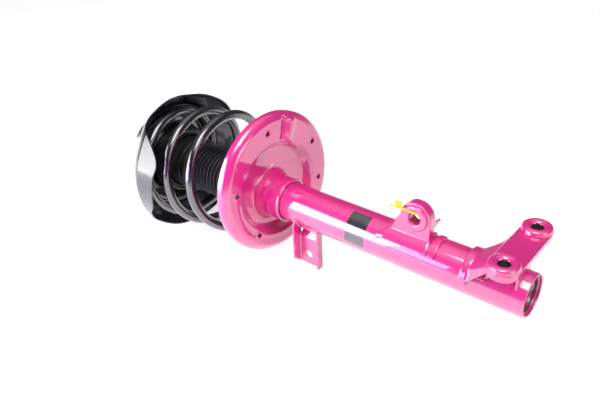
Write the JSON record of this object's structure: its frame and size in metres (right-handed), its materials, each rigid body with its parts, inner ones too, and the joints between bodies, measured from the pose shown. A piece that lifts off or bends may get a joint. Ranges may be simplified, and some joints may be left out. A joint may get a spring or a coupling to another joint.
{
  "type": "strut assembly",
  "caption": "Suspension strut with a coil spring between two seats, welded knuckle brackets, a ribbed boot and a top mount with a stud.",
  "frame": {"origin": "root of the top stud, on the strut axis, at the top mount's contact face", "axes": "+X up the strut axis towards the stud, +Z parallel to the two lower knuckle bolts, +Y along the upper eye bolt"},
  "size_m": [0.6299, 0.2019, 0.211],
  "materials": {
    "pink_paint": "gloss",
    "black_paint": "satin",
    "spring_paint": "gloss",
    "zinc": "satin",
    "steel": "machined",
    "sintered": "matte",
    "chrome_rod": "polished",
    "rubber": "satin",
    "foam": "matte",
    "ptfe": "matte",
    "cage_plastic": "matte",
    "label_grey": "satin",
    "tag_yellow": "satin"
  },
  "bodies": {
    "damper": {"outer_tube": "pink_paint", "base_cap": "pink_paint", "base_valve": "sintered", "pressure_cylinder": "steel", "rod_guide": "sintered", "guide_bush": "ptfe", "rod_seal": "rubber", "tube_cap": "zinc", "lower_spring_seat": "pink_paint", "seat_collar": "pink_paint", "lower_spring_pad": "rubber", "coil_spring": "spring_paint", "dust_boot": "rubber", "lower_knuckle_bracket": "pink_paint", "knuckle_boss_collars": "pink_paint", "upper_knuckle_bracket": "pink_paint", "eye_collar": "pink_paint", "upper_bracket_strap": "pink_paint", "cable_bracket": "pink_paint", "blank_label": "label_grey", "yellow_tag": "tag_yellow"},
    "upper_seat": {"upper_spring_seat": "black_paint", "upper_spring_pad": "rubber", "bearing_lower_race": "steel"},
    "ball_cage": {"bearing_cage": "cage_plastic", "bearing_balls": "chrome_rod"},
    "top_mount": {"piston_rod": "chrome_rod", "piston": "sintered", "piston_band": "ptfe", "valve_shims": "steel", "piston_nut": "steel", "rebound_stop": "foam", "bump_stop": "foam", "support_washer": "steel", "mount_sleeve": "steel", "bearing_upper_race": "steel", "mount_plate": "zinc", "mount_rubber": "rubber", "rod_nut": "zinc"}
  },
  "joints": [
    {"name": "compression", "type": "slide", "parent": "damper", "child": "upper_seat", "axis": [1, 0, 0], "range_m": [-0.1, 0], "stiffness_N_per_m": 28000, "springref_m": 0.003, "deforming": ["coil_spring", "dust_boot"]},
    {"name": "steering_swivel", "type": "hinge", "parent": "upper_seat", "child": "top_mount", "pos_m": [-0.0218, 0, 0], "axis": [1, 0, 0], "range_deg": [-40, 40]},
    {"name": "cage_spin", "type": "hinge", "parent": "upper_seat", "child": "ball_cage", "pos_m": [-0.0218, 0, 0], "axis": [1, 0, 0], "range_deg": [-20, 20]}
  ],
  "couplings": [
    {"joint": "cage_spin", "follows": "steering_swivel", "ratio": 0.5}
  ]
}
